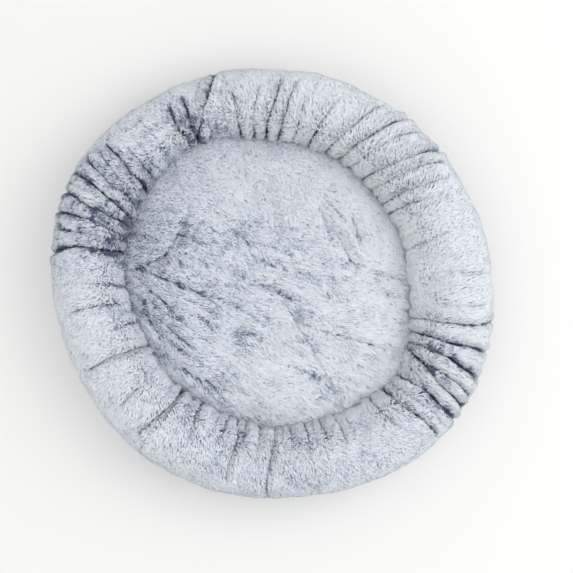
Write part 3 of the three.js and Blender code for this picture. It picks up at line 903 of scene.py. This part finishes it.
def soften(mesh):
    """Turns the strands' normals most of the way to the skin's, so that the pile shades as one surface."""
    count = len(mesh.vertices)
    own = np.empty(count * 3, np.float32)
    mesh.vertices.foreach_get("normal", own)
    skin = np.empty(count * 3, np.float32)
    mesh.attributes["skin_normal"].data.foreach_get("vector", skin)
    own, skin = own.reshape(-1, 3), unit(skin.reshape(-1, 3))
    own = own * np.where(np.sum(own * skin, axis=1) < 0, -1, 1)[:, None]
    blended = unit(mix(own, skin, NORMAL_FROM_SKIN))
    place = np.empty(count * 3, np.float32)
    mesh.vertices.foreach_get("co", place)
    place = place.reshape(-1, 3)
    just_above_floor = 0.3 * MM + 0.5 * (place[:, 2] % MM)
    place[:, 2] = np.maximum(place[:, 2], just_above_floor)
    mesh.vertices.foreach_set("co", place.ravel())
    for polygon in mesh.polygons:
        polygon.use_smooth = True
    mesh.normals_split_custom_set_from_vertices(blended.tolist())
    for name in ("comb", "tone", "pile", "skin_normal", "lot", "along", "across"):
        if name in mesh.attributes:
            mesh.attributes.remove(mesh.attributes[name])


# ---- the cushion's skin ----

CUSHION_STEPS = 81           # points along each side of the cloth that is simulated
CUSHION_CROWN = 7
CUSHION_SPARE = 1.05         # how much wider the cushion's cloth is cut than it lies
# Creases of the cushion's fur: middle in millimetres, direction in degrees, then length, depth and width
# in millimetres. A crease with a negative depth is a ridge.
CUSHION_CREASES = (
    (-150, 8, -28, 90, 5, 4), (-120, -2, -32, 130, 3.5, 3.5), (-150, -22, -42, 80, 4.5, 4),
    (-160, 30, 20, 60, 5, 6), (-140, 45, 55, 70, 4, 6), (-165, -48, -62, 60, 4, 4),
    (-135, -62, -40, 60, 4, 3.5), (-125, 75, 70, 50, 3, 6), (22, -20, -20, 70, 4, 3),
    (36, -52, -25, 26, 7, 5), (28, -88, -30, 40, 4, 4), (-38, 60, -35, 70, 3, 6),
    (72, 70, -70, 70, 5, 6), (92, 52, -62, 60, 6, 6), (84, 96, -50, 60, 4, 5), (108, 78, -75, 60, 5, 7),
    (12, 105, -78, 80, -5, 7), (-14, 108, -84, 70, -4, 8), (40, 112, -68, 60, -4, 7),
    (104, 60, -60, 50, -5, 7), (-95, -128, -25, 70, 6, 6), (-80, -140, -10, 50, 4, 5),
    (60, -120, -14, 120, 2.5, 3), (90, -70, -16, 110, 3, 3),
)
# Where the long shallow grooves of the cushion's fur fan out from, in metres
GROOVE_FOCUS = (-0.372, 0.114)
GROOVES_PER_RADIAN = 0.38 / (9 * MM)


def fan_grooves(points, seed):
    """Long fine grooves that fan out across the cushion, from 0 between them to 1 along them."""
    dx, dy = points[..., 0] - GROOVE_FOCUS[0], points[..., 1] - GROOVE_FOCUS[1]
    angle, away = np.arctan2(dy, dx), np.hypot(dx, dy)
    place = np.stack([away / (130 * MM), angle * GROOVES_PER_RADIAN, 0 * angle + seed], axis=-1)
    patch = 0.75 + 0.9 * noise_field(points, 55 * MM, seed + 1)
    lower = smooth(math.radians(2), math.radians(-14), angle)
    return ridge_lines(place, 3.4) * np.clip(patch, 0, 1) * lower


def disc_grid(steps):
    """A square grid bent to a disc, as each point's angle and its share of the radius."""
    line = np.linspace(-1, 1, steps)
    x, y = np.meshgrid(line, line)
    share = np.maximum(np.abs(x), np.abs(y))
    wide = np.abs(x) >= np.abs(y)
    with np.errstate(divide="ignore", invalid="ignore"):
        turn = np.where(wide, y / x, x / y)
    turn = np.nan_to_num(turn) * math.pi / 4
    sideways = turn + np.where(x < 0, math.pi, 0)
    upright = math.pi / 2 - turn + np.where(y < 0, math.pi, 0)
    angle = np.where(wide, sideways, upright)
    return angle, share


def grid_normals_open(points):
    normal = np.cross(np.gradient(points, axis=1), np.gradient(points, axis=0))
    return unit(normal)


def cushion_dome(steps):
    """The cushion's top before it is creased: an even grid from its middle to the seam round its edge."""
    angle, share = disc_grid(steps)
    turn = np.linspace(math.pi / 2, 0, 200)
    reach = rounded(np.cos(turn), CUSHION_CROWN)
    rise = rounded(np.sin(turn), CUSHION_CROWN)
    run = np.concatenate([[0], np.cumsum(np.hypot(np.diff(reach), 0.2 * np.diff(rise)))])
    at = share * run[-1]
    radius = (NEST + 1 * MM + waves(angle, NEST_WAVES)) * np.interp(at, run, reach)
    height = CUSHION_SEAM + (CUSHION_TOP - PILE_STAND - CUSHION_SEAM) * np.interp(at, run, rise)
    return round_bed(radius, angle, height)


def crease_fields(points):
    """Sum of the creases: the skin's dent, how far the pile is parted, and the push it gets sideways."""
    dent = np.zeros(points.shape[:2])
    parting = np.zeros(points.shape[:2])
    push = np.zeros(points.shape)
    for x, y, direction, length, depth, width in CUSHION_CREASES:
        c, s = math.cos(math.radians(direction)), math.sin(math.radians(direction))
        dx, dy = points[..., 0] / MM - x, points[..., 1] / MM - y
        along, away = dx * c + dy * s, (-dx * s + dy * c) / width
        fade = np.exp(-(along / (length / 2)) ** 4)
        valley = np.exp(-away ** 2) * fade
        dent += depth * MM * (0.35 * np.exp(-((np.abs(away) - 2) / 1.4) ** 2) * fade - 0.7 * valley)
        parting += np.exp(-(away * 1.3) ** 2) * fade * depth / 8 * min(1, (3.6 / width) ** 3)
        aside = np.sign(away) * np.exp(-(away / 1.6) ** 2) * fade * depth / 6
        push += aside[..., None] * np.array([-s, c, 0])
    return dent, parting, push


def cushion_surface():
    """The settled top of the cushion, and the fields that its fur follows."""
    points = cushion_dome(CUSHION_STEPS)
    dent, _, _ = crease_fields(points)
    edge = 1 - disc_grid(CUSHION_STEPS)[1]
    start = points.copy()
    start[..., 2] += dent * SEED_SHARE * smooth(0.0, 0.1, edge)
    start[..., 2] += noise_field(points, 40 * MM, 50) * 2 * MM * smooth(0.0, 0.1, edge)
    rest = points * np.array([CUSHION_SPARE, CUSHION_SPARE, 1])
    faces = grid_faces(CUSHION_STEPS, CUSHION_STEPS, closed=False)
    settled = simulated("cushion_cloth", start, faces, rest, edge < 0.01, CUSHION_PRESSURE, CUSHION_MOVE)
    points = halved(halved(settled, 1, False), 0, False)
    edge = 1 - disc_grid(len(points))[1]
    dent, parting, lean = crease_fields(points)
    lumps = noise_field(points, 70 * MM, 51) * 2.5 * MM + noise_field(points, 25 * MM, 52) * 1.2 * MM
    grooves = fan_grooves(points, 57)
    points[..., 2] += (dent * (1 - SEED_SHARE) + lumps - grooves * 1.8 * MM) * smooth(0.0, 0.1, edge)
    flow = math.radians(-26)
    swirl = noise_field(points, 60 * MM, 61) * 0.8
    turn = np.arctan2(points[..., 1], points[..., 0])
    rim = smooth(0.16, 0.02, edge)[..., None] * round_bed(1, turn, 0 * turn)
    comb = round_bed(1, flow + swirl, 0 * swirl) + 1.2 * lean + 2 * rim
    locks = stretched_noise(points, unit(comb), 18 * MM, 5 * MM, 71)
    patches = noise_field(points, 38 * MM, 81)
    ragged = np.clip(0.95 + 1.2 * noise_field(points, 7 * MM, 91), 0.1, 1.7)
    # Painted light and shade: the cushion's pile paler towards +X, the key lamp's side, and darker towards
    # +Y; locks and patches are its own random tone
    across, y_share_for_painted_shade = points[..., 0] / NEST, points[..., 1] / NEST
    tone = 0.84 + 0.16 * across - 0.08 * y_share_for_painted_shade + 0.18 * locks + 0.14 * patches
    # painted light and shade on the cushion's rim; the partings and grooves are the pile's own dark roots
    tone += painted_rim_light(turn) * smooth(0.14, 0.04, edge) - (0.8 * parting + 0.5 * grooves) * ragged
    fields = {"tone": tone, "pile": 1 - 0.3 * np.clip(parting, 0, 1) + 0.1 * locks,
              "comb": comb, "skin_normal": grid_normals_open(points)}
    return points, fields


def cushion_foot(points, floor, depth_power=5):
    """The grid's plan, hung below its edge as a shallow tray."""
    share = disc_grid(len(points))[1]
    foot = points.copy()
    foot[..., 2] = CUSHION_SEAM - (CUSHION_SEAM - floor) * (1 - share ** depth_power) ** (1 / depth_power)
    return foot


def cushion_pieces(points, tone):
    """The fur top's backing, the cloth underside and the filling between them."""
    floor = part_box("cushion_underside")[0][2]
    steps = len(points)
    faces = grid_faces(steps, steps, closed=False)
    top = thickened(new_object("cushion_cover", points.reshape(-1, 3), faces, BACKING_CLOTH), 1.4 * MM)
    store(top.data, "tone", "FLOAT", tone)
    low = cushion_foot(points, floor)
    low[..., 2] += noise_field(points, 22 * MM, 55) * 0.8 * MM * smooth(0.0, 0.2, 1 - disc_grid(steps)[1])
    low[..., 2] = np.maximum(low[..., 2], floor)
    base = new_object("cushion_lining", low.reshape(-1, 3), facing_out(faces), CUSHION_CLOTH)
    thickened(base, 1.0 * MM)
    fill_top = points[::2, ::2] * np.array([0.96, 0.96, 1]) - np.array([0, 0, 6 * MM])
    fill_foot = cushion_foot(fill_top, floor + 3 * MM)
    edge = disc_grid(len(fill_top))[1][..., None]
    fill_top = np.where(edge > 0.999, fill_foot, fill_top)
    few = grid_faces(len(fill_top), len(fill_top), closed=False)
    both = np.concatenate([fill_top.reshape(-1, 3), fill_foot.reshape(-1, 3)])
    lower = [tuple(i + fill_top[..., 0].size for i in face) for face in facing_out(few)]
    fill = new_object("cushion_filling", both, few + lower, FIBRE)
    weld(fill)
    return top, base, fill


def weld(piece):
    """Joins the points of a mesh that lie on each other."""
    solid = bmesh.new()
    solid.from_mesh(piece.data)
    bmesh.ops.remove_doubles(solid, verts=solid.verts, dist=0.01 * MM)
    solid.to_mesh(piece.data)
    solid.free()


# ---- base cloth, zip and small pieces ----

SEAM_IN = 6 * MM             # how far the base's seam lies in from its edge


def base_cloth(material):
    """The flat cloth under the bed, faintly puckered where it is sewn to the ring."""
    rings, columns = 72, 288
    share = np.linspace(0.02, 1, rings)[:, None]
    angle = np.linspace(0, TAU, columns, endpoint=False)[None, :]
    radius = share * BAND + 0 * angle
    seam = np.exp(-((radius - BAND + SEAM_IN) / (2.5 * MM)) ** 2)
    pucker = 0.5 * MM * seam + 0.12 * MM * (1 + np.sin(angle * 96)) * smooth(0.90, 0.97, share)
    points = round_bed(radius, angle, pucker).reshape(-1, 3)
    faces = grid_faces(rings, columns) + [tuple(reversed(range(columns)))]
    return thickened(new_object("base_cloth", points, faces, material), BASE_TOP - 0.6 * MM)


def path(name, radius, start, end, height, facing=None):
    """A polyline on an arc round the bed; its points hold the way that what is set along it faces."""
    count = int((end - start) * radius / (2 * MM)) + 1
    angle = np.linspace(start, end, count)
    points = round_bed(radius, angle, 0 * angle + height)
    line = bpy.data.meshes.new(name)
    line.from_pydata(points.tolist(), [(i, i + 1) for i in range(count - 1)], [])
    away = round_bed(1, angle, 0 * angle)
    store(line, "facing", "FLOAT_VECTOR", away if facing is None else np.tile(facing, (count, 1)))
    piece = bpy.data.objects.new(name, line)
    bpy.context.collection.objects.link(piece)
    return piece


def row_tree():
    """Geometry Nodes: one item repeated along a path, its X on the path and its Z the way the path faces."""
    group = bpy.data.node_groups.new("row", "GeometryNodeTree")
    named_input(group, "Geometry", "NodeSocketGeometry")
    named_input(group, "Item", "NodeSocketObject")
    named_input(group, "Spacing", "NodeSocketFloat", 3 * MM)
    named_input(group, "Material", "NodeSocketMaterial")
    group.interface.new_socket("Geometry", in_out="OUTPUT", socket_type="NodeSocketGeometry")
    tree = Tree(group)
    given = tree.node("NodeGroupInput")
    line = tree.node("GeometryNodeMeshToCurve", inputs={0: given.outputs["Geometry"]})
    spots = tree.node("GeometryNodeCurveToPoints", {"mode": "LENGTH"}, {
        "Curve": line.outputs[0], "Length": given.outputs["Spacing"]})
    turned = tree.node("FunctionNodeAxesToRotation", {"primary_axis": "X", "secondary_axis": "Z"}, {
        0: spots.outputs["Tangent"], 1: attribute(tree, "facing", "FLOAT_VECTOR")})
    item = tree.node("GeometryNodeObjectInfo", inputs={"Object": given.outputs["Item"]})
    instances = tree.node("GeometryNodeInstanceOnPoints", inputs={
        "Points": spots.outputs["Points"], "Instance": item.outputs["Geometry"],
        "Rotation": turned.outputs[0]})
    real = tree.node("GeometryNodeRealizeInstances", inputs={0: instances.outputs[0]})
    painted = tree.node("GeometryNodeSetMaterial", inputs={
        "Geometry": real.outputs[0], "Material": given.outputs["Material"]})
    tree.give(tree.node("NodeGroupOutput").inputs[0], painted.outputs[0])
    return group


def solid_result(source, group, values, name):
    """What a Geometry Nodes tree makes of an object, as a plain mesh."""
    modifier = source.modifiers.new("nodes", "NODES")
    modifier.node_group = group
    sockets = group.interface.items_tree
    inputs = {socket.name: socket.identifier for socket in sockets if socket.in_out == "INPUT"}
    for key, value in values.items():
        modifier[inputs[key]] = value
    bpy.context.view_layer.update()
    finished = source.evaluated_get(bpy.context.evaluated_depsgraph_get())
    mesh = bpy.data.meshes.new_from_object(finished)
    bpy.data.objects.remove(source)
    piece = bpy.data.objects.new(name, mesh)
    bpy.context.collection.objects.link(piece)
    return piece


def bent_wire(name, stops, thickness, sides=5):
    """A closed rod along a polyline of [x, y, z] stops, for a stitch or a coil's loop."""
    stops = np.array(stops)
    along = unit(np.gradient(stops, axis=0))
    first = unit(np.cross(along, np.array([0.31, 0.17, 1.0])))
    second = np.cross(along, first)
    turn = np.linspace(0, TAU, sides, endpoint=False)
    ring = [stops + (first * math.cos(t) + second * math.sin(t)) * thickness / 2 for t in turn]
    points = np.stack(ring, axis=1)
    far_end = len(stops) * sides - 1
    ends = [tuple(range(sides)), tuple(range(far_end, far_end - sides, -1))]
    piece = new_object(name, points.reshape(-1, 3), grid_faces(len(stops), sides) + ends)
    fix = bmesh.new()
    fix.from_mesh(piece.data)
    bmesh.ops.recalc_face_normals(fix, faces=fix.faces)
    fix.to_mesh(piece.data)
    fix.free()
    return piece


def thread_stitch():
    """One stitch of sewing thread, bowed up over the cloth."""
    half = 1.3 * MM
    bow = [(x * half, 0, 0.35 * MM * (1 - x ** 4)) for x in (-1, -0.8, 0, 0.8, 1)]
    return bent_wire("stitch", bow, 0.55 * MM)


COIL_DEPTH = 2.2 * MM
COIL_PITCH = 1.7 * MM
COIL_WIRE = 0.75 * MM
COIL_MARGIN = math.radians(2.3)    # from the ends of the opening to the ends of the coil


def coil_loop(node):
    """One loop of a zip's coil, filling the height and depth of the plain strip it stands for."""
    low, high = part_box(node)
    half = (high[2] - low[2] - COIL_WIRE) / 2
    depth = (COIL_DEPTH - COIL_WIRE) / 2
    rise = 0.25 * COIL_PITCH / TAU
    loop = [(rise * t, half * math.cos(t), depth * math.sin(t)) for t in np.linspace(0, TAU, 9)]
    return bent_wire("loop", loop, COIL_WIRE, 4)


def zip_coil(node, name, group):
    """A row of coil loops along the strip of the frame that it stands for."""
    low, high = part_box(node)
    radius = high[1] - COIL_DEPTH / 2
    margin = COIL_MARGIN + 0.5 * MM / radius
    line = path("path", radius, WINDOW_START + margin, WINDOW_END - margin, (low[2] + high[2]) / 2)
    loop = coil_loop(node)
    piece = solid_result(line, group, {"Item": loop, "Spacing": COIL_PITCH, "Material": ZIP_PLASTIC}, name)
    bpy.data.objects.remove(loop)
    return piece


def dress(node, material):
    """Gives a CAD node its finish."""
    finishes = bpy.data.objects[node].data.materials
    finishes.clear()
    finishes.append(material)


# ---- stage ----

def add_stage():
    bpy.ops.mesh.primitive_plane_add(size=12, location=(0, 0, 0))
    floor = bpy.context.object
    floor.name = "floor"
    material, tree, shader = new_material("pale_floor")
    shader.inputs["Base Color"].default_value = (0.865, 0.86, 0.85, 1)
    shader.inputs["Roughness"].default_value = 0.9
    floor.data.materials.append(material)
    world = bpy.data.worlds.new("world")
    bpy.context.scene.world = world
    world.use_nodes = True
    world.node_tree.nodes["Background"].inputs[0].default_value = (1, 1, 1, 1)
    world.node_tree.nodes["Background"].inputs[1].default_value = 0.92
    lamp("key", (2.0, 0.3, 1.9), 2.2, 23)
    lamp("fill", (-1.2, -1.6, 2.4), 2.2, 6)


def lamp(name, place, size, power):
    light = bpy.data.lights.new(name, "AREA")
    light.size = size
    light.energy = power
    lamp_object = bpy.data.objects.new(name, light)
    lamp_object.location = place
    lamp_object.rotation_euler = (-Vector(place)).to_track_quat("-Z", "Y").to_euler()
    bpy.context.collection.objects.link(lamp_object)


CAMERA_DISTANCE = 2.2
FRAME_WIDTH = 0.774           # what the picture's width takes in at the bed's widest
AIM = Vector((0.0189, -0.004, 0.05))
ELEVATION = math.radians(88)


def add_camera():
    camera = bpy.data.cameras.new("camera")
    camera.lens = camera.sensor_width * CAMERA_DISTANCE / FRAME_WIDTH
    viewer = bpy.data.objects.new("camera", camera)
    bpy.context.collection.objects.link(viewer)
    away = Vector((0, -math.cos(ELEVATION), math.sin(ELEVATION)))
    viewer.location = AIM + away * CAMERA_DISTANCE
    viewer.rotation_euler = (-away).to_track_quat("-Z", "Y").to_euler()
    bpy.context.scene.camera = viewer


# ---- the making ----

bpy.context.scene.view_settings.view_transform = "Standard"
add_camera()
add_stage()

FUR = fur_material()
BACKING_CLOTH = backing_material()
CUSHION_CLOTH = cloth_material("cushion_cloth", (0.15, 0.16, 0.18), (0.38, 0.39, 0.42), 1.1 * MM, 3)
LINER_CLOTH = cloth_material("liner_cloth", (0.62, 0.62, 0.60), (0.86, 0.86, 0.84), 0.8 * MM, 5)
LABEL_CLOTH = cloth_material("label_satin", (0.70, 0.70, 0.68), (0.90, 0.90, 0.88), 0.5 * MM, 9)
BASE_CLOTH = base_material()
ZIP_TAPE = tape_material("zip_tape", (0.19, 0.20, 0.23), (0.42, 0.43, 0.47))
GATHER_TAPE = tape_material("gather_tape", (0.60, 0.60, 0.58), (0.86, 0.86, 0.84))
FIBRE = fibre_material()
ZIP_PLASTIC = plastic_material()
ZIP_METAL = metal_material()
THREAD = thread_material()

hair = strand()
fur_nodes = fur_tree(FUR)


def furred(skin, name, body, sectors, seed):
    """Grows a skin's fur in sectors, each a piece of its own on the same body."""
    for part in range(sectors):
        tuft = grown(skin, fur_nodes, hair, f"{name}_{part + 1}", FUR_DENSITY, part, sectors, seed)
        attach(tuft, body)
    bpy.data.objects.remove(skin)


def stand_in(piece, node, body):
    """Puts a piece on its body, in place of a node of the frame."""
    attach(piece, body)
    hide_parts(node)


points, fields = bolster_surface()
skin_faces = outside_window(points, facing_out(grid_faces(*points.shape[:2])))
skin = carrier("bolster_skin", points, skin_faces, fields)
furred(skin, "bolster_fur", "bed", BOLSTER_SECTORS, seed=1)
bolster = bolster_cover(points, fields["tone"], BACKING_CLOTH)
liner = stuffed_ring("bolster_liner", 20 * MM, LINER_CLOTH)
filling = stuffed_ring("bolster_filling", 23 * MM, FIBRE)
for piece, node, slot in (
        (bolster, "ring_cover", "fur"), (liner, "ring_liner", "white_cloth"),
        (filling, "ring_fill", "fibre_fill")):
    stand_in(piece, node, "bed")

points, fields = cushion_surface()
skin = carrier("cushion_skin", points, grid_faces(*points.shape[:2], closed=False), fields)
furred(skin, "cushion_fur", "cushion", CUSHION_SECTORS, seed=2)
top, lining, cushion_filling = cushion_pieces(points, fields["tone"])
for piece, node, slot in (
        (top, "cushion_top", "fur"), (lining, "cushion_underside", "grey_cloth"),
        (cushion_filling, "cushion_fill", "fibre_fill")):
    stand_in(piece, node, "cushion")
bpy.data.objects.remove(hair)

base = base_cloth(BASE_CLOTH)
stand_in(base, "base_panel", "bed")

row_nodes = row_tree()
for node, name in (("zip_coil_upper", "coil_upper"), ("zip_coil_lower", "coil_lower")):
    coil = zip_coil(node, name, row_nodes)
    stand_in(coil, node, "bed")

stitch = thread_stitch()
seam_path = path("seam_path", BAND - SEAM_IN, 0, TAU * 0.999, 0.62 * MM, facing=(0, 0, -1))
stitches = {"Item": stitch, "Spacing": 3.4 * MM, "Material": THREAD}
seam = solid_result(seam_path, row_nodes, stitches, "base_seam")
bpy.data.objects.remove(stitch)
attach(seam, "bed")

for node in ("zip_tape_upper", "zip_tape_lower"):
    dress(node, ZIP_TAPE)
for node in ("zip_slider", "zip_pull", "zip_bottom_stop"):
    dress(node, ZIP_METAL)
for node in ("zip_top_stop_upper", "zip_top_stop_lower"):
    dress(node, ZIP_PLASTIC)
dress("gather_tape", GATHER_TAPE)
dress("care_label", LABEL_CLOTH)
